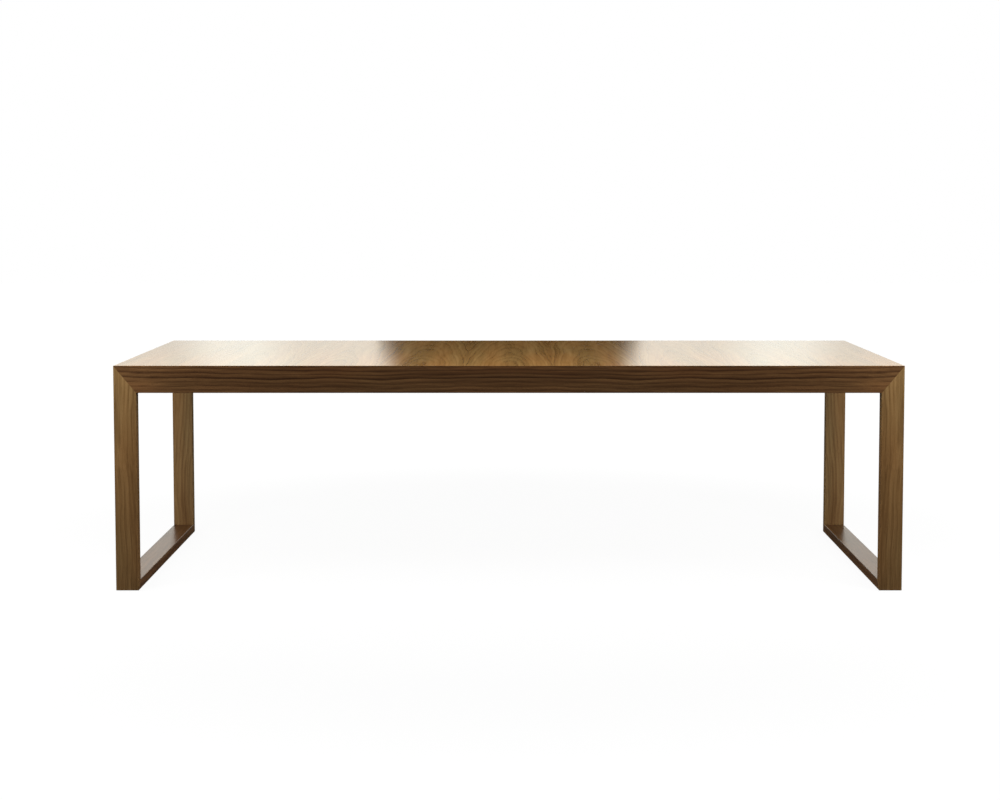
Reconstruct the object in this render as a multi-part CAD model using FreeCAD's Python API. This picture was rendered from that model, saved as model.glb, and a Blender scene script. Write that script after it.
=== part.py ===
import FreeCAD
import Part

import os

# A long dining table whose legs, aprons and floor rails meet in mitres. Lengths are in millimetres.
# X runs along the table, Y from front to back and Z up, from the floor under the middle of the top.

# Overall sizes
table_length = 2600.0
table_depth = 1000.0
table_height = 750.0

# Frame of legs, aprons, end rails and floor rails
leg_face_width = 75.0
frame_thickness = 32.0
apron_height = 90.0
floor_rail_height = 32.0
edge_round = 1.5

# Top panel, mitred to the frame along all four edges
top_thickness = 24.0

# Bearers under the top, half lapped where they cross
long_bearer_count = 2
cross_bearer_count = 5
bearer_thickness = 28.0
bearer_recess = 8.0
lap_clearance = 0.2

# Blocks in the inside corners of the aprons and end rails
corner_block_side = 48.0
corner_block_lip = 16.0

# Loose tenons across the mitres
tenon_side_gap = 0.1
tenon_end_gap = 1.0
apron_tenon_thickness = 8.0
apron_tenon_width = 22.0
apron_tenon_length = 40.0
apron_tenon_mitre_share = 0.72
apron_tenon_depth_share = 0.35
end_tenon_thickness = 6.0
end_tenon_width = 20.0
end_tenon_length = 20.0
end_tenon_mitre_share = 0.75
end_tenon_face_share = 0.22
floor_tenon_thickness = 8.0
floor_tenon_width = 44.0
floor_tenon_length = 24.0

# Dowels at the ends of the bearers
dowel_diameter = 8.0
dowel_length = 38.0
dowel_bevel = 1.0
dowel_spacing = 28.0
dowel_side_gap = 0.1
dowel_end_gap = 1.0

# Flat-headed wood screws through the bearers and the corner blocks
screw_diameter = 4.5
screw_head_diameter = 9.0
screw_head_height = 3.0
screw_hole_gap = 0.15
screw_end_gap = 1.0
counterbore_gap = 0.5
recess_length = 4.8
recess_width = 1.1
recess_depth = 1.6
top_screws_per_bearer = 3
top_screw_bite = 12.5
counterbore_share = 0.5
corner_screw_bite = 19.0
corner_screw_place_share = 0.75
apron_screw_height_share = 0.3
end_screw_height_share = 0.7

# Floor glides and the countersunk screws that hold them
glide_diameter = 26.0
glide_height = 3.0
glide_bevel = 0.8
glide_inset = 62.0
glide_screw_diameter = 3.5
glide_screw_head_diameter = 7.0
glide_screw_head_height = 1.8
glide_screw_sink = 0.6
glide_screw_length = 18.0
glide_recess_length = 3.6
glide_recess_width = 0.8
glide_recess_depth = 1.0

# Allowance by which a cutting solid passes the face that it cuts
cut_overrun = 5.0

# Faces and levels that the pieces share
left = -table_length / 2
right = table_length / 2
front = -table_depth / 2
rear = table_depth / 2
inner_left = left + leg_face_width
inner_right = right - leg_face_width
inner_front = front + frame_thickness
inner_rear = rear - frame_thickness
frame_bottom = glide_height
floor_rail_top = frame_bottom + floor_rail_height
apron_bottom = table_height - apron_height
bearer_top = table_height - top_thickness
bearer_bottom = apron_bottom + bearer_recess
bearer_height = bearer_top - bearer_bottom
bearer_middle = (bearer_bottom + bearer_top) / 2
inner_length = inner_right - inner_left
inner_depth = inner_rear - inner_front

origin = FreeCAD.Vector(0, 0, 0)
x_axis = FreeCAD.Vector(1, 0, 0)
y_axis = FreeCAD.Vector(0, 1, 0)
z_axis = FreeCAD.Vector(0, 0, 1)


# Helpers

def prism(axis, outline, low, high):
    """Solid with a straight-sided outline across the named axis, from low to high along it."""
    if axis == "x":
        points = [FreeCAD.Vector(low, y, z) for y, z in outline]
        direction = x_axis
    elif axis == "y":
        points = [FreeCAD.Vector(x, low, z) for x, z in outline]
        direction = y_axis
    else:
        points = [FreeCAD.Vector(x, y, low) for x, y in outline]
        direction = z_axis
    face = Part.Face(Part.makePolygon(points + points[:1]))
    return face.extrude(direction * (high - low))


def block(low, high):
    """Rectangular solid between two opposite corners."""
    size = FreeCAD.Vector(*high) - FreeCAD.Vector(*low)
    return Part.makeBox(size.x, size.y, size.z, FreeCAD.Vector(*low))


def eased_board(low, high, axis, eased_corners):
    """Board along the named axis, with the given corners of its section rounded.

    A corner is a pair of signs: the side of the section that it is on, along each of the other two axes.
    """
    board = block(low, high)
    middle = board.BoundBox.Center
    edges = []
    for edge in board.Edges:
        offset = dict(zip("xyz", edge.CenterOfMass - middle))
        runs_along = abs(offset.pop(axis)) < edge_round
        corner = tuple(1 if value > 0 else -1 for value in offset.values())
        if runs_along and corner in eased_corners:
            edges.append(edge)
    return board.makeFillet(edge_round, edges)


def turned(outline):
    """Solid turned about the Z axis from an outline of radius and height pairs."""
    points = [FreeCAD.Vector(radius, 0, height) for radius, height in outline]
    return Part.Face(Part.makePolygon(points + points[:1])).revolve(origin, z_axis)


def placed(shape, place):
    """Copy of a shape with its own X and Z axes turned to those of the place and moved to its centre."""
    centre, own_x, own_z = place
    copy = shape.copy()
    copy.Placement = FreeCAD.Placement(centre, FreeCAD.Rotation(own_x, own_z.cross(own_x), own_z, "ZXY"))
    return copy


def mirrored_x(shape):
    """The same piece at the other end of the table."""
    return shape.mirror(origin, x_axis)


def mirrored_y(shape):
    """The same piece at the other long side of the table."""
    return shape.mirror(origin, y_axis)


def with_mirror_x(shape):
    return [shape, mirrored_x(shape)]


def with_mirror_y(shape):
    return [shape, mirrored_y(shape)]


def at_four_corners(shape):
    """A piece of the front left corner, with its copies at the other three."""
    return [copy for end in with_mirror_x(shape) for copy in with_mirror_y(end)]


def evenly_spaced(count, span):
    """Places that divide a span, centred on zero, into equal bays."""
    return [span * (index + 1) / (count + 1) - span / 2 for index in range(count)]


def outer_envelope():
    """The table's outer box above the glides, with every outer edge rounded."""
    box = block((left, front, frame_bottom), (right, rear, table_height))
    return box.makeFillet(edge_round, box.Edges)


def top_blank():
    """The top panel before its holes: full size above, and smaller below by the mitres of its edges."""
    below = table_height - top_thickness
    across_depth = [
        (left, table_height),
        (right, table_height),
        (right - top_thickness, below),
        (left + top_thickness, below),
    ]
    across_length = [
        (front, table_height),
        (rear, table_height),
        (rear - top_thickness, below),
        (front + top_thickness, below),
    ]
    return prism("y", across_depth, front, rear).common(prism("x", across_length, left, right))


# Loose tenons, each at the front left corner

def loose_tenon(thickness, width, length, side_gap, end_gap):
    """Flat bar with round edges, its width along X and its length along Z, or the mortise that takes it."""
    radius = thickness / 2 + side_gap
    straight = (width - thickness) / 2
    reach = length / 2 + end_gap
    bar = block((-straight, -radius, -reach), (straight, radius, reach))
    for side in (-straight, straight):
        bar = bar.fuse(Part.makeCylinder(radius, 2 * reach, FreeCAD.Vector(side, 0, -reach)))
    return bar


def apron_tenon(side_gap, end_gap):
    """Tenon across the mitre between the leg and the apron."""
    share = apron_tenon_mitre_share
    centre = FreeCAD.Vector(
        left + share * leg_face_width,
        front + share * apron_tenon_depth_share * frame_thickness,
        table_height - share * apron_height,
    )
    along_mitre = FreeCAD.Vector(leg_face_width, 0, -apron_height).normalize()
    across_mitre = FreeCAD.Vector(apron_height, 0, leg_face_width).normalize()
    bar = loose_tenon(apron_tenon_thickness, apron_tenon_width, apron_tenon_length, side_gap, end_gap)
    return placed(bar, (centre, along_mitre, across_mitre))


def end_tenon(side_gap, end_gap):
    """Tenon across the mitre between the leg and the end rail."""
    share = end_tenon_mitre_share
    centre = FreeCAD.Vector(
        left + end_tenon_face_share * leg_face_width,
        front + share * frame_thickness,
        table_height - share * apron_height,
    )
    across_mitre = FreeCAD.Vector(0, apron_height, frame_thickness).normalize()
    bar = loose_tenon(end_tenon_thickness, end_tenon_width, end_tenon_length, side_gap, end_gap)
    return placed(bar, (centre, x_axis, across_mitre))


def floor_tenon(side_gap, end_gap):
    """Tenon across the mitre between the leg and the floor rail."""
    centre = FreeCAD.Vector(
        left + leg_face_width / 2,
        front + frame_thickness / 2,
        frame_bottom + floor_rail_height / 2,
    )
    across_mitre = FreeCAD.Vector(0, floor_rail_height, -frame_thickness).normalize()
    bar = loose_tenon(floor_tenon_thickness, floor_tenon_width, floor_tenon_length, side_gap, end_gap)
    return placed(bar, (centre, x_axis, across_mitre))


def tenon_group(tenon):
    return Part.makeCompound(at_four_corners(tenon(0, 0)))


def mortise(tenon):
    return tenon(tenon_side_gap, tenon_end_gap)


# Dowels

def dowel():
    """Dowel along Z with bevelled ends, centred on the joint that it crosses."""
    radius = dowel_diameter / 2
    half = dowel_length / 2
    return turned([
        (0, -half),
        (radius - dowel_bevel, -half),
        (radius, dowel_bevel - half),
        (radius, half - dowel_bevel),
        (radius - dowel_bevel, half),
        (0, half),
    ])


def dowel_hole():
    reach = dowel_length / 2 + dowel_end_gap
    radius = dowel_diameter / 2 + dowel_side_gap
    return Part.makeCylinder(radius, 2 * reach, FreeCAD.Vector(0, 0, -reach))


def dowel_heights():
    return [bearer_middle + side * dowel_spacing / 2 for side in (-1, 1)]


def front_dowel_places(x_places):
    """Where cross bearers at the given places along X meet the front apron."""
    return [
        (FreeCAD.Vector(x, inner_front, z), x_axis, y_axis)
        for x in x_places
        for z in dowel_heights()
    ]


def left_dowel_places(y_places):
    """Where long bearers at the given places along Y meet the left end rail."""
    return [
        (FreeCAD.Vector(inner_left, y, z), y_axis, x_axis)
        for y in y_places
        for z in dowel_heights()
    ]


def bearer_dowels():
    dowels = []
    for place in front_dowel_places(cross_bearer_places):
        dowels += with_mirror_y(placed(dowel(), place))
    for place in left_dowel_places(long_bearer_places):
        dowels += with_mirror_x(placed(dowel(), place))
    return Part.makeCompound(dowels)


# Screws, pointing along Z with the seat of a flat head, or the face of a countersunk one, at the origin

def cross_recess(length, width, depth, face):
    """Cross-shaped driver recess sunk into a screw head from the given height."""
    half_length = length / 2
    half_width = width / 2
    bottom = face - cut_overrun
    top = face + depth
    lengthwise = block((-half_length, -half_width, bottom), (half_length, half_width, top))
    crosswise = block((-half_width, -half_length, bottom), (half_width, half_length, top))
    return lengthwise.fuse(crosswise)


def flat_head_screw(length):
    head = screw_head_diameter / 2
    shank = screw_diameter / 2
    body = turned([
        (0, -screw_head_height),
        (head, -screw_head_height),
        (head, 0),
        (shank, 0),
        (shank, length - screw_diameter),
        (0, length),
    ])
    return body.cut(cross_recess(recess_length, recess_width, recess_depth, -screw_head_height))


def screw_hole(length, counterbore):
    """Hole for the shank of a flat-headed screw, with a counterbore for its head."""
    shank = screw_diameter / 2 + screw_hole_gap
    head = screw_head_diameter / 2 + counterbore_gap
    hole = Part.makeCylinder(shank, length + screw_end_gap, origin)
    return hole.fuse(Part.makeCylinder(head, counterbore, FreeCAD.Vector(0, 0, -counterbore)))


def glide_screw():
    head = glide_screw_head_diameter / 2
    shank = glide_screw_diameter / 2
    body = turned([
        (0, 0),
        (head, 0),
        (shank, glide_screw_head_height),
        (shank, glide_screw_length - glide_screw_diameter),
        (0, glide_screw_length),
    ])
    return body.cut(cross_recess(glide_recess_length, glide_recess_width, glide_recess_depth, 0))


# Screws that hold the top, through the cross bearers

top_counterbore = counterbore_share * bearer_height
top_screw_length = bearer_height - top_counterbore + top_screw_bite


def top_screw_places(x_places):
    seat = bearer_bottom + top_counterbore
    return [
        (FreeCAD.Vector(x, y, seat), x_axis, z_axis)
        for x in x_places
        for y in evenly_spaced(top_screws_per_bearer, inner_depth)
    ]


def top_screw_holes(x_places):
    hole = screw_hole(top_screw_length, top_counterbore + cut_overrun)
    return [placed(hole, place) for place in top_screw_places(x_places)]


def top_fixing_screws():
    screw = flat_head_screw(top_screw_length)
    return Part.makeCompound([placed(screw, place) for place in top_screw_places(cross_bearer_places)])


# Corner blocks and their screws, at the front left corner

corner_screw_length = corner_block_lip + corner_screw_bite


def corner_block_blank():
    near = corner_block_lip
    far = corner_block_side
    corners = [(0, 0), (far, 0), (far, near), (near, far), (0, far)]
    outline = [(inner_left + x, inner_front + y) for x, y in corners]
    return prism("z", outline, bearer_bottom, bearer_top)


def corner_apron_screw_place():
    centre = FreeCAD.Vector(
        inner_left + corner_screw_place_share * corner_block_side,
        inner_front + corner_block_lip,
        bearer_bottom + apron_screw_height_share * bearer_height,
    )
    return centre, x_axis, -y_axis


def corner_end_screw_place():
    centre = FreeCAD.Vector(
        inner_left + corner_block_lip,
        inner_front + corner_screw_place_share * corner_block_side,
        bearer_bottom + end_screw_height_share * bearer_height,
    )
    return centre, y_axis, -x_axis


def corner_screw_hole(place):
    return placed(screw_hole(corner_screw_length, corner_block_side), place)


def corner_block():
    holes = [corner_screw_hole(corner_apron_screw_place()), corner_screw_hole(corner_end_screw_place())]
    return corner_block_blank().cut(holes)


def corner_block_screws():
    screw = flat_head_screw(corner_screw_length)
    screws = []
    for place in (corner_apron_screw_place(), corner_end_screw_place()):
        screws += at_four_corners(placed(screw, place))
    return Part.makeCompound(screws)


# Floor glides, at the front left corner

glide_x = left + leg_face_width / 2
glide_y = front + glide_inset


def glide():
    """Round glide with a bevelled rim and a countersunk hole."""
    radius = glide_diameter / 2
    hole = glide_screw_diameter / 2 + screw_hole_gap
    sink = glide_screw_head_diameter / 2 + screw_hole_gap
    body = turned([
        (sink, 0),
        (radius - glide_bevel, 0),
        (radius, glide_bevel),
        (radius, glide_height),
        (hole, glide_height),
        (hole, glide_screw_sink + glide_screw_head_height),
        (sink, glide_screw_sink),
    ])
    return placed(body, (FreeCAD.Vector(glide_x, glide_y, 0), x_axis, z_axis))


def glide_screw_place():
    return FreeCAD.Vector(glide_x, glide_y, glide_screw_sink), x_axis, z_axis


def glide_screws():
    return Part.makeCompound(at_four_corners(placed(glide_screw(), glide_screw_place())))


def glide_screw_hole():
    radius = glide_screw_diameter / 2 + screw_hole_gap
    hole = Part.makeCylinder(radius, glide_screw_length + screw_end_gap, origin)
    return placed(hole, glide_screw_place())


# Frame

def leg():
    """Front left leg: its head is mitred to the apron and the end rail, its foot to the floor rail."""
    eased = [(-1, 1), (1, -1), (1, 1)]
    board = eased_board((left, front, frame_bottom), (inner_left, inner_front, table_height), "z", eased)
    face_outline = [
        (left, frame_bottom),
        (inner_left, frame_bottom),
        (inner_left, apron_bottom),
        (left, table_height),
    ]
    side_outline = [
        (front, frame_bottom),
        (inner_front, floor_rail_top),
        (inner_front, apron_bottom),
        (front, table_height),
    ]
    mitred = board.common(prism("y", face_outline, front, inner_front))
    mitred = mitred.common(prism("x", side_outline, left, inner_left))
    mortises = [mortise(tenon) for tenon in (apron_tenon, end_tenon, floor_tenon)]
    return mitred.common(outer_envelope()).cut(mortises)


def apron():
    """Front apron: full length along its top edge, and mitred back to the legs and the end rails."""
    eased = [(-1, -1), (1, -1)]
    board = eased_board((left, front, apron_bottom), (right, inner_front, table_height), "x", eased)
    face_outline = [
        (left, table_height),
        (inner_left, apron_bottom),
        (inner_right, apron_bottom),
        (right, table_height),
    ]
    plan_outline = [
        (left, front),
        (inner_left, inner_front),
        (inner_right, inner_front),
        (right, front),
    ]
    mitred = board.common(prism("y", face_outline, front, inner_front))
    mitred = mitred.common(prism("z", plan_outline, apron_bottom, table_height))
    holes = with_mirror_x(mortise(apron_tenon))
    holes += with_mirror_x(corner_screw_hole(corner_apron_screw_place()))
    holes += [placed(dowel_hole(), place) for place in front_dowel_places(cross_bearer_places)]
    return mitred.common(outer_envelope()).cut([top_blank()] + holes)


def end_rail():
    """Left end rail, as wide as the legs and as high as the aprons."""
    eased = [(-1, -1), (1, -1)]
    board = eased_board((left, front, apron_bottom), (inner_left, rear, table_height), "y", eased)
    side_outline = [
        (front, table_height),
        (inner_front, apron_bottom),
        (inner_rear, apron_bottom),
        (rear, table_height),
    ]
    plan_outline = [
        (left, front),
        (inner_left, inner_front),
        (inner_left, inner_rear),
        (left, rear),
    ]
    mitred = board.common(prism("x", side_outline, left, inner_left))
    mitred = mitred.common(prism("z", plan_outline, apron_bottom, table_height))
    holes = with_mirror_y(mortise(end_tenon))
    holes += with_mirror_y(corner_screw_hole(corner_end_screw_place()))
    holes += [placed(dowel_hole(), place) for place in left_dowel_places(long_bearer_places)]
    return mitred.common(outer_envelope()).cut([top_blank()] + holes)


def floor_rail():
    """Left floor rail, mitred to the feet of the two legs."""
    eased = [(-1, 1), (1, -1), (1, 1)]
    board = eased_board((left, front, frame_bottom), (inner_left, rear, floor_rail_top), "y", eased)
    side_outline = [
        (front, frame_bottom),
        (inner_front, floor_rail_top),
        (inner_rear, floor_rail_top),
        (rear, frame_bottom),
    ]
    mitred = board.common(prism("x", side_outline, left, inner_left))
    holes = with_mirror_y(mortise(floor_tenon)) + with_mirror_y(glide_screw_hole())
    return mitred.common(outer_envelope()).cut(holes)


# Top and bearers

def top_panel():
    return top_blank().common(outer_envelope()).cut(top_screw_holes(cross_bearer_places))


long_bearer_places = evenly_spaced(long_bearer_count, inner_depth)
cross_bearer_places = evenly_spaced(cross_bearer_count, inner_length)
half_lap = (bearer_thickness + lap_clearance) / 2
half_bearer = bearer_thickness / 2


def long_bearer(y):
    """Bearer from end rail to end rail, notched from above for the cross bearers."""
    low = (inner_left, y - half_bearer, bearer_bottom)
    high = (inner_right, y + half_bearer, bearer_top)
    bearer = eased_board(low, high, "x", [(-1, -1), (1, -1)])
    notches = [
        block(
            (x - half_lap, y - half_bearer - cut_overrun, bearer_middle),
            (x + half_lap, y + half_bearer + cut_overrun, bearer_top + cut_overrun),
        )
        for x in cross_bearer_places
    ]
    holes = []
    for place in left_dowel_places([y]):
        holes += with_mirror_x(placed(dowel_hole(), place))
    return bearer.cut(notches + holes)


def cross_bearer(x):
    """Bearer from apron to apron, notched from below for the long bearers and bored for the top's screws."""
    low = (x - half_bearer, inner_front, bearer_bottom)
    high = (x + half_bearer, inner_rear, bearer_top)
    bearer = eased_board(low, high, "y", [(-1, -1), (1, -1)])
    notches = [
        block(
            (x - half_bearer - cut_overrun, y - half_lap, bearer_bottom - cut_overrun),
            (x + half_bearer + cut_overrun, y + half_lap, bearer_middle),
        )
        for y in long_bearer_places
    ]
    holes = top_screw_holes([x])
    for place in front_dowel_places([x]):
        holes += with_mirror_y(placed(dowel_hole(), place))
    return bearer.cut(notches + holes)


# Assembly

def corner_nodes(name, shape):
    """The four copies of a corner piece, named by their row and side."""
    rows_and_sides = ("front_left", "rear_left", "front_right", "rear_right")
    return {f"{corner}_{name}": copy for corner, copy in zip(rows_and_sides, at_four_corners(shape))}


def table():
    nodes = {"top_panel": top_panel()}
    nodes.update(zip(("front_apron", "rear_apron"), with_mirror_y(apron())))
    nodes.update(zip(("left_end_rail", "right_end_rail"), with_mirror_x(end_rail())))
    nodes.update(zip(("left_floor_rail", "right_floor_rail"), with_mirror_x(floor_rail())))
    nodes.update(corner_nodes("leg", leg()))
    for number, y in enumerate(long_bearer_places, start=1):
        nodes[f"long_bearer_{number}"] = long_bearer(y)
    for number, x in enumerate(cross_bearer_places, start=1):
        nodes[f"cross_bearer_{number}"] = cross_bearer(x)
    nodes.update(corner_nodes("corner_block", corner_block()))
    nodes.update(corner_nodes("glide", glide()))
    nodes["leg_apron_tenons"] = tenon_group(apron_tenon)
    nodes["leg_end_rail_tenons"] = tenon_group(end_tenon)
    nodes["leg_floor_rail_tenons"] = tenon_group(floor_tenon)
    nodes["bearer_dowels"] = bearer_dowels()
    nodes["top_fixing_screws"] = top_fixing_screws()
    nodes["corner_block_screws"] = corner_block_screws()
    nodes["glide_screws"] = glide_screws()
    return nodes


os.makedirs("parts", exist_ok=True)
for node_name, node_shape in table().items():
    node_shape.exportStep(f"parts/{node_name}.step")
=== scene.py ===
import math
from collections import namedtuple

import bpy
from mathutils import Color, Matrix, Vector


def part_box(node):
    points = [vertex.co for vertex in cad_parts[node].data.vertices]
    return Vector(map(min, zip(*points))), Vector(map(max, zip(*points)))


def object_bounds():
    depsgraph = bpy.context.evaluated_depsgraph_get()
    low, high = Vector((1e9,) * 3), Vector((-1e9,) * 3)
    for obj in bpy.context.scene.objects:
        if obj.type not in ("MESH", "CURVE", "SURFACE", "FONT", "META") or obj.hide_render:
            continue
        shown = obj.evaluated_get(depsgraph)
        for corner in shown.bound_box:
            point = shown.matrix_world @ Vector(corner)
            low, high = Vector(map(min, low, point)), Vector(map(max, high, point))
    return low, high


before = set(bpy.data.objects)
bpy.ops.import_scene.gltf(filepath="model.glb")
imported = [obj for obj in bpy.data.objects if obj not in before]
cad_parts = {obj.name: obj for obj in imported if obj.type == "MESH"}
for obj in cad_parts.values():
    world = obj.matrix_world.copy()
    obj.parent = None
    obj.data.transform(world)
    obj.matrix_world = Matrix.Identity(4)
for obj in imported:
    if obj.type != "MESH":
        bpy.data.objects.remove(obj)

cad_low, cad_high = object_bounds()

# Sizes of the table, in metres, read from the solids
half_length = cad_high.x
half_depth = cad_high.y
table_height = cad_high.z
leg_low, leg_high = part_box("front_left_leg")
leg_face_width = leg_high.x - leg_low.x
frame_thickness = leg_high.y - leg_low.y
apron_height = table_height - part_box("front_apron")[0].z
rail_low, rail_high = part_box("left_floor_rail")
rail_height = rail_high.z - rail_low.z

# Camera: the picture in pixels, the sensor in millimetres, places in metres, and the pitch in degrees
image_width = 1000
image_height = 800
sensor_width = 36.0
focal_pixels = 1686.7
optical_axis_pixel = (508.96, 305.1)
camera_distance = 5.5134
camera_height = 1.2923
camera_pitch_degrees = 3.558

# Veneer of the top, in metres: leaves across its length, each turned over like the pages of a book and
# cut that much deeper than the leaf before it
leaf_count = 9
leaf_width = 2 * half_length / leaf_count
leaf_step = 0.004

# Place of each board in its log, in metres: how far along it, and the log's heart on the board's end
top_place = 2.1
top_heart_rise = 0.026
top_heart = (0.150, table_height + top_heart_rise)
row_places = {"front": 3.4, "rear": 12.3}
apron_hearts = {"front": (1.16, -0.60), "rear": (1.10, 0.55)}
leg_place_step = 1.3
leg_hearts = {"front": (0.90, -0.60), "rear": (0.90, 0.55)}
side_places = {"left": 5.2, "right": 6.6}
end_rail_heart = (1.10, 1.40)
floor_rail_place_step = 1.9
floor_rail_heart = (0.90, -0.10)
long_bearer_place = 9.1
cross_bearer_place = 11.7
bearer_heart = (0.60, -0.30)
block_place = 13.3
tenon_place = 15.3
block_heart = (1.10, -0.40)

# Growth rings: their width in metres, and how far the log leans for each metre of board
top_ring_width = 0.0105
top_lean_share = 0.060
frame_ring_width = 0.013
frame_lean_share = 0.020
bearer_ring_width = 0.005
bearer_lean_share = 0.030

# How dark a ring is from its first growth to its last, and in its faintest year
ring_profile_shares = [(0.0, 0.30), (0.15, 0.15), (0.55, 0.35), (0.80, 0.85), (0.90, 0.80), (1.0, 0.30)]
ring_middle_share = 0.285
faint_ring_share = 0.35
bands_for_each_year = 0.25

# Noise features for each metre: across the grain, into the depth, and along the grain
wobble_stretch = (18.0, 18.0, 2.0)
ragged_stretch = (160.0, 160.0, 7.0)
fibre_stretch = (330.0, 330.0, 8.0)
pore_stretch = (1500.0, 1500.0, 55.0)
cloud_stretch = (9.0, 9.0, 1.6)
soft_detail = 2.0
streak_detail = 5.0
noise_middle_share = 0.5
noise_spread_shares = (0.3, 0.7)

# Strength of the figure, the bend of the grain in metres, and the length in metres over which a board is
# painted paler towards the table's ends, painted light for the lamps that stand at the ends
grain_bend = 0.045
wobble_share = 0.9
pore_start_share = 0.60
pore_full_share = 0.70
tone_shares = (0.1, 0.5, 0.9)
middle_tone_share = 0.5
painted_end_light_length = 0.35

# Colours: the step of a display colour that is white, and the tints of warm and cool clouds in the wood
white_step = 255
warm_tint = (1.07, 0.97, 0.90)
cool_tint = (0.96, 1.01, 1.01)

# Surface of the wood; heights and widths in metres
smooth_wood_share = 0.42
rough_wood_share = 0.58
grain_bump_share = 0.06
grain_bump_height = 0.0003
lacquer_share = 0.5
thin_lacquer_share = 0.15
lacquer_index = 1.5
top_gloss_share = 0.10
frame_gloss_share = 0.26
rail_lacquer_share = 0.60
rail_gloss_share = 0.30
# Seams: dark lines at the mitres, with painted shade in a thin line along the frame's bottom edges at the
# floor
seam_and_floor_shade_half_width = 0.0005
seam_and_floor_shade_share = 0.40
seam_start = 0.001
seam_full = 0.002

# Screws and glides: dark and light colours, speckles for each metre, and their relief in metres
steel_colours = [(0.42, 0.42, 0.40), (0.62, 0.62, 0.60)]
steel_rough_share = 0.30
steel_speckle = (700.0, 700.0, 700.0)
steel_relief = 0.00005
nylon_colours = [(0.012, 0.012, 0.012), (0.022, 0.021, 0.020)]
nylon_rough_share = 0.55
nylon_speckle = (1200.0, 1200.0, 1200.0)
nylon_relief = 0.0001
speckle_bump_share = 0.3
speckle_rough_share = 0.15

# Floor, in metres and shares of white
floor_size = 40.0
floor_fade = (1.5, 2.7)
floor_bounce_share = 0.07
floor_glow_share = 0.07
floor_white_share = 0.945

# Studio room: brightness at its front, back and sides, by share of a direction
front_strength = 0.16
back_strength = 0.14
side_strength = 0.30
room_turn_shares = (-0.30, 0.30)
room_side_shares = (0.45, 0.90)

# Pale wall behind the table, with an unlit doorway in its middle: its front and top are shares of a
# direction, and its other places are shares of sideways or upwards to backwards
wall_strength = 2.6
wall_front_shares = (-0.10, 0.35)
wall_top_shares = (0.26, 0.42)
wall_rise_shares = (0.031, 0.124)
wall_gain_shares = (1.0, 1.35)
least_share = 0.001
doorway_inner_shares = (0.0738, 0.0667)
doorway_outer_share = 0.0779
doorway_rise_shares = (-0.0052, 0.0103)
doorway_middle_share = 0.088
doorway_lean_share = 0.158
wall_colour_shares = [
    (0.124, (0.80, 0.775, 0.70)),
    (0.152, (0.97, 0.99, 0.92)),
    (0.175, (0.96, 0.97, 0.895)),
    (0.199, (0.74, 0.722, 0.66)),
    (0.306, (0.72, 0.70, 0.645)),
]

# Softboxes, in metres and watts: how far they stand past the table's end, before its front or its
# middle, and above its top or the floor
lamp_size = 0.8
end_lamp_past_end = 0.45
end_lamp_before_front = 0.65
end_lamp_above_top = 0.51
end_lamp_power = 14.0
side_lamp_past_end = 1.0
side_lamp_before_middle = 0.25
side_lamp_above_floor = 0.6
side_lamp_power = 6.0
middle_lamp_before_front = 0.40
middle_lamp_above_top = 0.86
middle_lamp_power = 10.5

# Sockets of a colour mix node, by number: its factor, its two colours and its result
mix_inputs = (0, 6, 7)
mix_output = 2


class Graph:
    """Short calls that add nodes to one node tree and link them."""

    def __init__(self, tree):
        self.tree = tree
        tree.nodes.clear()

    def feed(self, socket, value):
        if isinstance(value, bpy.types.NodeSocket):
            self.tree.links.new(value, socket)
        else:
            socket.default_value = value

    def add(self, kind, settings=None, inputs=None):
        node = self.tree.nodes.new(kind)
        for name, value in (settings or {}).items():
            setattr(node, name, value)
        for name, value in (inputs or {}).items():
            self.feed(node.inputs[name], value)
        return node

    def math(self, operation, *values):
        node = self.add("ShaderNodeMath", {"operation": operation})
        for socket, value in zip(node.inputs, values):
            self.feed(socket, value)
        return node.outputs[0]

    def vector(self, operation, *values):
        node = self.add("ShaderNodeVectorMath", {"operation": operation})
        for socket, value in zip(node.inputs, values):
            self.feed(socket, value)
        return node.outputs["Value"] if operation == "LENGTH" else node.outputs["Vector"]

    def split(self, vector):
        return self.add("ShaderNodeSeparateXYZ", inputs={"Vector": vector}).outputs

    def join(self, x, y, z):
        return self.add("ShaderNodeCombineXYZ", inputs={"X": x, "Y": y, "Z": z}).outputs[0]

    def noise(self, vector, stretch, detail):
        """Noise with its own number of features per metre along each axis."""
        scaled = self.vector("MULTIPLY", vector, stretch)
        inputs = {"Vector": scaled, "Scale": 1.0, "Detail": detail}
        return self.add("ShaderNodeTexNoise", inputs=inputs).outputs

    def between(self, value, low, high, from_value=0.0, to_value=1.0):
        """Smooth step: from_value up to low, and to_value from high on."""
        node = self.add("ShaderNodeMapRange", {"interpolation_type": "SMOOTHSTEP"})
        for socket, given in zip(node.inputs, (value, low, high, from_value, to_value)):
            self.feed(socket, given)
        return node.outputs[0]

    def ramp(self, factor, stops):
        node = self.add("ShaderNodeValToRGB", inputs={"Fac": factor})
        elements = node.color_ramp.elements
        while len(elements) < len(stops):
            elements.new(1.0)
        for element, (position, colour) in zip(elements, stops):
            element.position = position
            element.color = opaque(colour)
        return node.outputs["Color"]

    def mix(self, blend, factor, first, second):
        node = self.add("ShaderNodeMix", {"data_type": "RGBA", "blend_type": blend})
        for index, value in zip(mix_inputs, (factor, first, second)):
            self.feed(node.inputs[index], value)
        return node.outputs[mix_output]

    def shade(self, kind, first, second, factor=None):
        """Two shaders added together, or mixed by a factor."""
        node = self.add(kind)
        if factor is not None:
            self.feed(node.inputs["Fac"], factor)
        self.feed(node.inputs[-2], first)
        self.feed(node.inputs[-1], second)
        return node.outputs[0]

    def finish(self, kind, shader):
        self.feed(self.add(kind).inputs["Surface"], shader)


def opaque(colour):
    return (*colour, 1.0)


def grey(level):
    return (level, level, level)


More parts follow.
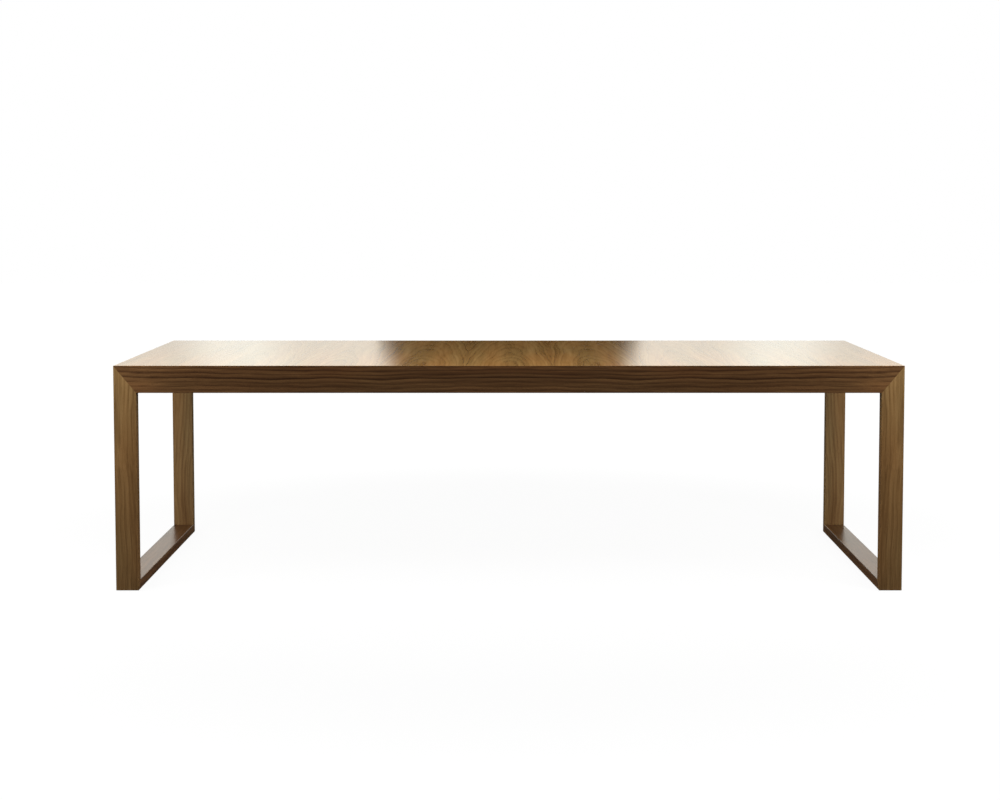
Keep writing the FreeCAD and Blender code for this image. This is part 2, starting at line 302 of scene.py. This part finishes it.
def srgb(red, green, blue):
    """Linear colour of a display colour given in steps of 0 to 255."""
    display = Color((red / white_step, green / white_step, blue / white_step))
    return display.from_srgb_to_scene_linear()


def new_material(name):
    material = bpy.data.materials.new(name)
    material.use_nodes = True
    return material, Graph(material.node_tree)


# Wood

# The axes that the grain, the show face and the depth of a board run along, the width of its veneer
# leaves and where the first of them starts, and its place in the log with the growth rings there
Cut = namedtuple("Cut", "grain face depth leaf fold place heart lean ring_width")
Tones = namedtuple("Tones", "light middle dark pore")
Figure = namedtuple("Figure", "bend_stretch streak_stretch ring band streak fibre ragged pore pale_end")

top_tones = Tones(srgb(176, 138, 87), srgb(150, 114, 67), srgb(112, 79, 44), srgb(90, 61, 33))
# Painted shade: the aprons, the end rails and the floor rails get darker copies of the one wood of the
# frame, for the little light that falls on their faces
shaded_apron_tones = Tones(srgb(109, 78, 48), srgb(80, 54, 32), srgb(51, 31, 17), srgb(36, 22, 12))
shaded_rail_tones = Tones(srgb(122, 90, 56), srgb(94, 65, 39), srgb(62, 40, 22), srgb(42, 26, 14))
# Painted light and shade: the front and rear legs get lit and shaded copies of one wood, the rear copy
# lighter for how the lamps fall on it
lit_and_shaded_leg_tones = {
    "front": Tones(srgb(150, 119, 78), srgb(122, 93, 57), srgb(84, 57, 31), srgb(56, 37, 20)),
    "rear": Tones(srgb(157, 130, 89), srgb(131, 104, 68), srgb(92, 66, 39), srgb(60, 42, 24)),
}
bearer_tones = Tones(srgb(196, 163, 120), srgb(176, 140, 98), srgb(148, 112, 74), srgb(120, 86, 54))
tenon_tones = Tones(srgb(212, 182, 146), srgb(198, 164, 126), srgb(176, 140, 104), srgb(150, 112, 80))

# Noise features for each metre, and how strong each layer of the figure is, as shares: growth rings,
# bands of years, streaks, fibres, ragged edges of the rings, pores, and painted light that makes the ends
# paler
crown_figure = Figure(
    bend_stretch=(3.0, 3.0, 1.4), streak_stretch=(34.0, 34.0, 1.5),
    ring=0.30, band=0.30, streak=0.42, fibre=0.22, ragged=0.15, pore=0.10, pale_end=0.0)
plain_figure = Figure(
    bend_stretch=(3.0, 3.0, 2.2), streak_stretch=(75.0, 75.0, 2.0),
    ring=0.70, band=0.25, streak=0.42, fibre=0.30, ragged=0.30, pore=0.38, pale_end=0.17)
calm_figure = Figure(
    bend_stretch=(3.0, 3.0, 2.2), streak_stretch=(60.0, 60.0, 2.6),
    ring=0.28, band=0.22, streak=0.42, fibre=0.28, ragged=0.30, pore=0.38, pale_end=0.0)


def table_axes(graph):
    x, y, z = graph.split(graph.add("ShaderNodeTexCoord").outputs["Object"])
    return {"x": x, "y": y, "z": z}


def from_face(graph, half_size, axis):
    """How far a point lies inside the nearer of the table's two outer faces along an axis."""
    return graph.math("SUBTRACT", half_size, graph.math("ABSOLUTE", axis))


def point_in_log(graph, axes, cut):
    """The point of the board as it lay in the log, with X folded at each joint between veneer leaves."""
    folded = dict(axes, x=graph.math("PINGPONG", graph.math("ADD", axes["x"], cut.fold), cut.leaf))
    outward = graph.math("ADD", graph.math("ABSOLUTE", axes["x"]), cut.fold)
    leaf_number = graph.math("FLOOR", graph.math("DIVIDE", outward, cut.leaf))
    depth = graph.math("MULTIPLY_ADD", leaf_number, leaf_step, folded[cut.depth])
    along = graph.math("ADD", folded[cut.grain], cut.place)
    return graph.join(folded[cut.face], depth, along)


def bent_grain(graph, point, figure):
    """The point, moved sideways so that the grain around it wanders."""
    noise = graph.noise(point, figure.bend_stretch, soft_detail)["Color"]
    bend = graph.vector("SUBTRACT", noise, grey(noise_middle_share))
    return graph.vector("MULTIPLY_ADD", bend, (grain_bend, grain_bend, 0.0), point)


def growth_rings(graph, point, cut, figure):
    """Darkness of the growth rings where the board's face cuts them, and of the bands of years."""
    across, depth, along = graph.split(point)
    heart_across, heart_depth = cut.heart
    inward = graph.math("MULTIPLY_ADD", along, cut.lean, graph.math("SUBTRACT", depth, heart_depth))
    sideways = graph.math("SUBTRACT", across, heart_across)
    radius = graph.vector("LENGTH", graph.join(sideways, inward, 0.0))
    count = graph.math("DIVIDE", radius, cut.ring_width)
    for stretch, share in ((wobble_stretch, wobble_share), (ragged_stretch, figure.ragged)):
        count = graph.math("MULTIPLY_ADD", graph.noise(point, stretch, soft_detail)["Fac"], share, count)
    year = graph.math("FLOOR", count)
    white_noise = graph.add("ShaderNodeTexWhiteNoise", {"noise_dimensions": "1D"}, {"W": year})
    chance = white_noise.outputs["Value"]
    stops = [(position, grey(darkness)) for position, darkness in ring_profile_shares]
    ring = graph.ramp(graph.math("FRACT", count), stops)
    rings = graph.math("MULTIPLY", ring, graph.between(chance, 0.0, 1.0, faint_ring_share, 1.0))
    band_count = graph.math("MULTIPLY", count, bands_for_each_year)
    band_inputs = {"W": band_count, "Scale": 1.0, "Detail": soft_detail}
    band_noise = graph.add("ShaderNodeTexNoise", {"noise_dimensions": "1D"}, band_inputs)
    return rings, band_noise.outputs["Fac"]


def seam_and_floor_shade_lines(graph, axes):
    """Where the mitres of the frame come to the surface, and a thin line of painted shade along the bottom
    edges of its front and back faces at the floor: 1 on a line, 0 away from it.
    """
    from_end = from_face(graph, half_length, axes["x"])
    from_side = from_face(graph, half_depth, axes["y"])
    from_top = graph.math("SUBTRACT", table_height, axes["z"])
    from_floor = graph.math("SUBTRACT", axes["z"], rail_low.z)
    mitres = (
        (from_end, leg_face_width, from_top, apron_height),
        (from_side, frame_thickness, from_top, apron_height),
        # This mitre also paints a thin line of shade along the bottom edges of the front and back faces,
        # where the frame stands on the floor
        (from_side, frame_thickness, from_floor, rail_height),
    )
    seams_and_floor_shade = 0.0
    for first, first_size, second, second_size in mitres:
        first_part = graph.math("DIVIDE", first, first_size)
        second_part = graph.math("DIVIDE", second, second_size)
        offset = graph.math("ABSOLUTE", graph.math("SUBTRACT", first_part, second_part))
        distance = graph.math("DIVIDE", offset, math.hypot(1 / first_size, 1 / second_size))
        seams_and_floor_shade = graph.math("MAXIMUM", seams_and_floor_shade, graph.between(distance, 0.0, seam_and_floor_shade_half_width, 1.0, 0.0))
    below_top = graph.between(from_top, seam_start, seam_full)
    return graph.math("MULTIPLY", seams_and_floor_shade, below_top)


def figure_darkness(graph, axes, point, cut, figure, fibres):
    """How dark the figure is: rings, bands, streaks and fibres around the middle tone, and painted light,
    which makes the ends paler.
    """
    rings, bands = growth_rings(graph, point, cut, figure)
    streaks = graph.noise(point, figure.streak_stretch, streak_detail)["Fac"]
    darkness = graph.math("MULTIPLY", graph.math("SUBTRACT", rings, ring_middle_share), figure.ring)
    for layer, share in ((bands, figure.band), (streaks, figure.streak), (fibres, figure.fibre)):
        swing = graph.math("SUBTRACT", layer, noise_middle_share)
        darkness = graph.math("MULTIPLY_ADD", swing, share / noise_middle_share, darkness)
    darkness = graph.math("ADD", darkness, middle_tone_share)
    # Painted light: the board is made paler towards the table's ends
    if figure.pale_end:
        from_end = from_face(graph, half_length, axes["x"])
        end_light = graph.between(from_end, 0.0, painted_end_light_length, figure.pale_end, 0.0)
        darkness = graph.math("SUBTRACT", darkness, end_light)
    return darkness


def clouded_colour(graph, point, darkness, tones):
    """Tones of the figure, tinted by warm and cool clouds."""
    colour = graph.ramp(darkness, list(zip(tone_shares, tones)))
    cloud = graph.between(graph.noise(point, cloud_stretch, soft_detail)["Fac"], *noise_spread_shares)
    tint = graph.mix("MIX", cloud, opaque(warm_tint), opaque(cool_tint))
    return graph.mix("MULTIPLY", 1.0, colour, tint)


def wood(name, cut, tones, figure, lacquer, gloss, seams_and_floor_shade=False):
    """Figured wood: growth rings, streaks, fibres and pores, under a clear satin lacquer."""
    material, graph = new_material(name)
    axes = table_axes(graph)
    point = bent_grain(graph, point_in_log(graph, axes, cut), figure)
    fibres = graph.noise(point, fibre_stretch, soft_detail)["Fac"]
    pore_noise = graph.noise(point, pore_stretch, soft_detail)["Fac"]
    pores = graph.between(pore_noise, pore_start_share, pore_full_share)

    darkness = figure_darkness(graph, axes, point, cut, figure, fibres)
    colour = clouded_colour(graph, point, darkness, tones)
    colour = graph.mix("MIX", graph.math("MULTIPLY", pores, figure.pore), colour, opaque(tones.pore))
    if seams_and_floor_shade:
        # Dark mitre joints, and painted shade along the bottom edges at the floor
        line = graph.math("MULTIPLY", seam_and_floor_shade_lines(graph, axes), seam_and_floor_shade_share)
        colour = graph.mix("MIX", line, colour, opaque(tones.pore))

    bump = graph.add("ShaderNodeBump", inputs={
        "Strength": grain_bump_share,
        "Distance": grain_bump_height,
        "Height": graph.math("SUBTRACT", fibres, pores),
    })
    shader = graph.add("ShaderNodeBsdfPrincipled", inputs={
        "Base Color": colour,
        "Roughness": graph.between(fibres, *noise_spread_shares, smooth_wood_share, rough_wood_share),
        "Specular IOR Level": 0.0,
        "Coat Weight": lacquer,
        "Coat Roughness": gloss,
        "Coat IOR": lacquer_index,
        "Normal": bump.outputs["Normal"],
    })
    graph.finish("ShaderNodeOutputMaterial", shader.outputs["BSDF"])
    return material


def speckled(name, colours, rough_share, metallic, speckle_stretch, relief):
    """Screws and glides: fine speckle in the tone, the roughness and the surface."""
    material, graph = new_material(name)
    point = graph.add("ShaderNodeTexCoord").outputs["Object"]
    speckle = graph.noise(point, speckle_stretch, soft_detail)["Fac"]
    rough_shares = (rough_share, rough_share + speckle_rough_share)
    bump = graph.add("ShaderNodeBump", inputs={
        "Strength": speckle_bump_share,
        "Distance": relief,
        "Height": speckle,
    })
    shader = graph.add("ShaderNodeBsdfPrincipled", inputs={
        "Base Color": graph.ramp(speckle, list(zip(noise_spread_shares, colours))),
        "Roughness": graph.between(speckle, *noise_spread_shares, *rough_shares),
        "Metallic": metallic,
        "Normal": bump.outputs["Normal"],
    })
    graph.finish("ShaderNodeOutputMaterial", shader.outputs["BSDF"])
    return material


# Finishes

def dress(node, material):
    """Gives a CAD node its finish."""
    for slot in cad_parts[node].material_slots:
        slot.material = material


def frame_wood(name, grain, face, depth, place, heart, tones, figure, lacquer, gloss):
    """Lacquered wood of the frame, with its grain mirrored at the middle of the table's length."""
    cut = Cut(grain, face, depth, half_length, 0.0, place, heart, frame_lean_share, frame_ring_width)
    return wood(name, cut, tones, figure, lacquer, gloss, seams_and_floor_shade=True)


def inner_wood(name, grain, face, depth, place, heart, tones, lacquer):
    """Plain pale wood of the pieces under the top."""
    cut = Cut(grain, face, depth, half_length, 0.0, place, heart, bearer_lean_share, bearer_ring_width)
    return wood(name, cut, tones, plain_figure, lacquer, frame_gloss_share)


def dress_top():
    """Crown-cut leaves, with the grain from the front of the table to its back."""
    fold = leaf_width / 2
    cut = Cut("y", "x", "z", leaf_width, fold, top_place, top_heart, top_lean_share, top_ring_width)
    dress("top_panel", wood("top_wood", cut, top_tones, crown_figure, lacquer_share, top_gloss_share))


def dress_rows():
    """Aprons and legs of the front and the rear."""
    finish = (lacquer_share, frame_gloss_share)
    for row, place in row_places.items():
        apron = f"{row}_apron"
        apron_wood = frame_wood(
            f"{apron}_wood", "x", "z", "y", place, apron_hearts[row], shaded_apron_tones, plain_figure, *finish)
        dress(apron, apron_wood)
        leg_place = place + leg_place_step
        leg_wood = frame_wood(
            f"{row}_leg_wood", "z", "x", "y", leg_place, leg_hearts[row], lit_and_shaded_leg_tones[row],
            calm_figure, *finish)
        for side in side_places:
            dress(f"{row}_{side}_leg", leg_wood)


def dress_ends():
    """Rails under the top and on the floor at each end."""
    for side, place in side_places.items():
        end_rail = f"{side}_end_rail"
        end_rail_wood = frame_wood(
            f"{end_rail}_wood", "y", "z", "x", place, end_rail_heart, shaded_apron_tones,
            plain_figure, lacquer_share, frame_gloss_share)
        dress(end_rail, end_rail_wood)
        floor_rail = f"{side}_floor_rail"
        rail_place = place + floor_rail_place_step
        floor_rail_wood = frame_wood(
            f"{floor_rail}_wood", "y", "x", "z", rail_place, floor_rail_heart, shaded_rail_tones,
            calm_figure, rail_lacquer_share, rail_gloss_share)
        dress(floor_rail, floor_rail_wood)


def inside_finishes():
    """What a name says a hidden piece is made of; the first word that the name holds counts."""
    steel = speckled("screw_steel", steel_colours, steel_rough_share, 1.0, steel_speckle, steel_relief)
    nylon = speckled("glide_nylon", nylon_colours, nylon_rough_share, 0.0, nylon_speckle, nylon_relief)
    long_bearer = inner_wood(
        "long_bearer_wood", "x", "z", "y", long_bearer_place, bearer_heart, bearer_tones,
        thin_lacquer_share)
    cross_bearer = inner_wood(
        "cross_bearer_wood", "y", "z", "x", cross_bearer_place, bearer_heart, bearer_tones,
        thin_lacquer_share)
    block = inner_wood(
        "corner_block_wood", "z", "x", "y", block_place, block_heart, bearer_tones, thin_lacquer_share)
    tenon = inner_wood("tenon_wood", "z", "x", "y", tenon_place, block_heart, tenon_tones, 0.0)
    return {
        "screws": steel,
        "tenons": tenon,
        "dowels": tenon,
        "glide": nylon,
        "long_bearer": long_bearer,
        "cross_bearer": cross_bearer,
        "corner_block": block,
    }


def dress_inside():
    """Bearers, blocks, tenons, dowels, screws and glides."""
    finishes = inside_finishes()
    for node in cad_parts:
        words = [word for word in finishes if word in node]
        if words:
            dress(node, finishes[words[0]])


# Studio

def pale_wall(graph, outward, y, z):
    """The wall with its doorway, and how much of each direction it fills."""
    backward = graph.math("MAXIMUM", y, least_share)
    wall_height = graph.between(z, *wall_top_shares, 1.0, 0.0)
    wall_part = graph.math("MULTIPLY", graph.between(y, *wall_front_shares), wall_height)
    rise = graph.math("SUBTRACT", graph.math("DIVIDE", z, backward), doorway_middle_share)
    sideways = graph.math("DIVIDE", outward, backward)
    sideways = graph.math("MULTIPLY_ADD", rise, doorway_lean_share, sideways)
    inner_edge = graph.between(rise, *doorway_rise_shares, *doorway_inner_shares)
    doorway = graph.between(sideways, inner_edge, doorway_outer_share)
    level = graph.math("MULTIPLY", graph.math("MULTIPLY", wall_part, doorway), wall_strength)
    wall_gain = graph.between(rise, *wall_rise_shares, *wall_gain_shares)
    wall = graph.add("ShaderNodeBackground", inputs={
        "Color": graph.ramp(sideways, wall_colour_shares),
        "Strength": graph.math("MULTIPLY", level, wall_gain),
    })
    return wall.outputs[0], wall_part


def dim_room(graph, outward, y, wall_part):
    """The room beside and before the wall, brighter at its sides."""
    length_level = graph.between(y, *room_turn_shares, front_strength, back_strength)
    side_level = graph.between(outward, *room_side_shares, 0.0, side_strength)
    level = graph.math("ADD", length_level, side_level)
    level = graph.math("MULTIPLY", level, graph.math("SUBTRACT", 1.0, wall_part))
    room = graph.add("ShaderNodeBackground", inputs={"Color": opaque(grey(1.0)), "Strength": level})
    return room.outputs[0]


def studio_world():
    """A low pale wall behind the table and a dim room around it, with white for the camera alone."""
    world = bpy.data.worlds.new("studio")
    bpy.context.scene.world = world
    world.use_nodes = True
    graph = Graph(world.node_tree)
    x, y, z = graph.split(graph.add("ShaderNodeTexCoord").outputs["Generated"])
    outward = graph.math("ABSOLUTE", x)
    wall, wall_part = pale_wall(graph, outward, y, z)
    around = graph.shade("ShaderNodeAddShader", dim_room(graph, outward, y, wall_part), wall)
    white = graph.add("ShaderNodeBackground", inputs={"Color": opaque(grey(1.0)), "Strength": 1.0})
    seen = graph.add("ShaderNodeLightPath").outputs["Is Camera Ray"]
    shader = graph.shade("ShaderNodeMixShader", around, white.outputs[0], seen)
    graph.finish("ShaderNodeOutputWorld", shader)


def floor_material():
    """White where nothing shades it, with a faint glow on the table, and clear when seen from below."""
    material, graph = new_material("studio_floor")
    material.cycles.emission_sampling = "NONE"
    point = graph.add("ShaderNodeTexCoord").outputs["Object"]
    level = graph.between(graph.vector("LENGTH", point), *floor_fade, floor_white_share, 1.0)
    path = graph.add("ShaderNodeLightPath").outputs
    bounce = graph.add("ShaderNodeBsdfDiffuse", inputs={"Color": opaque(grey(floor_bounce_share))})
    glow = graph.math("MULTIPLY", path["Is Diffuse Ray"], floor_glow_share)
    strength = graph.math("MULTIPLY_ADD", path["Is Camera Ray"], level, glow)
    white = graph.add("ShaderNodeEmission", inputs={"Strength": strength})
    above = graph.shade("ShaderNodeAddShader", bounce.outputs[0], white.outputs[0])
    below = graph.add("ShaderNodeBsdfTransparent").outputs[0]
    from_below = graph.add("ShaderNodeNewGeometry").outputs["Backfacing"]
    shader = graph.shade("ShaderNodeMixShader", above, below, from_below)
    graph.finish("ShaderNodeOutputMaterial", shader)
    return material


def studio_floor():
    bpy.ops.mesh.primitive_plane_add(size=floor_size)
    floor = bpy.context.object
    floor.name = "studio_floor"
    floor.data.materials.append(floor_material())


def softbox(name, place, aim, power):
    """Soft square lamp that neither the camera nor the lacquer shows."""
    lamp = bpy.data.lights.new(name, "AREA")
    lamp.shape = "SQUARE"
    lamp.size = lamp_size
    lamp.energy = power
    holder = bpy.data.objects.new(name, lamp)
    bpy.context.scene.collection.objects.link(holder)
    holder.location = place
    holder.rotation_euler = (Vector(aim) - Vector(place)).to_track_quat("-Z", "Y").to_euler()
    holder.visible_camera = False
    holder.visible_glossy = False


def studio_lamps():
    """Softboxes before and beside each end of the table, and a weak one before its middle."""
    for name, side in (("left", -1), ("right", 1)):
        end_x = side * half_length
        before_end = (
            end_x + side * end_lamp_past_end,
            -half_depth - end_lamp_before_front,
            table_height + end_lamp_above_top,
        )
        beside_end = (end_x + side * side_lamp_past_end, -side_lamp_before_middle, side_lamp_above_floor)
        softbox(f"{name}_end_softbox", before_end, (end_x, 0.0, table_height), end_lamp_power)
        softbox(f"{name}_side_softbox", beside_end, (end_x, 0.0, table_height / 2), side_lamp_power)
    before_middle = (0.0, -half_depth - middle_lamp_before_front, table_height + middle_lamp_above_top)
    softbox("middle_softbox", before_middle, (0.0, 0.0, table_height), middle_lamp_power)


def photo_camera():
    """Camera in front of the table, a little above its top, with the photograph's framing."""
    lens = bpy.data.cameras.new("camera")
    lens.sensor_width = sensor_width
    lens.lens = focal_pixels * sensor_width / image_width
    axis_x, axis_y = optical_axis_pixel
    lens.shift_x = (image_width / 2 - axis_x) / image_width
    lens.shift_y = (axis_y - image_height / 2) / image_width
    camera = bpy.data.objects.new("camera", lens)
    bpy.context.scene.collection.objects.link(camera)
    camera.location = (0.0, -half_depth - camera_distance, camera_height)
    camera.rotation_euler = (math.pi / 2 - math.radians(camera_pitch_degrees), 0.0, 0.0)
    bpy.context.scene.camera = camera


dress_top()
dress_rows()
dress_ends()
dress_inside()
studio_world()
studio_floor()
studio_lamps()
photo_camera()
bpy.context.scene.view_settings.view_transform = "Standard"
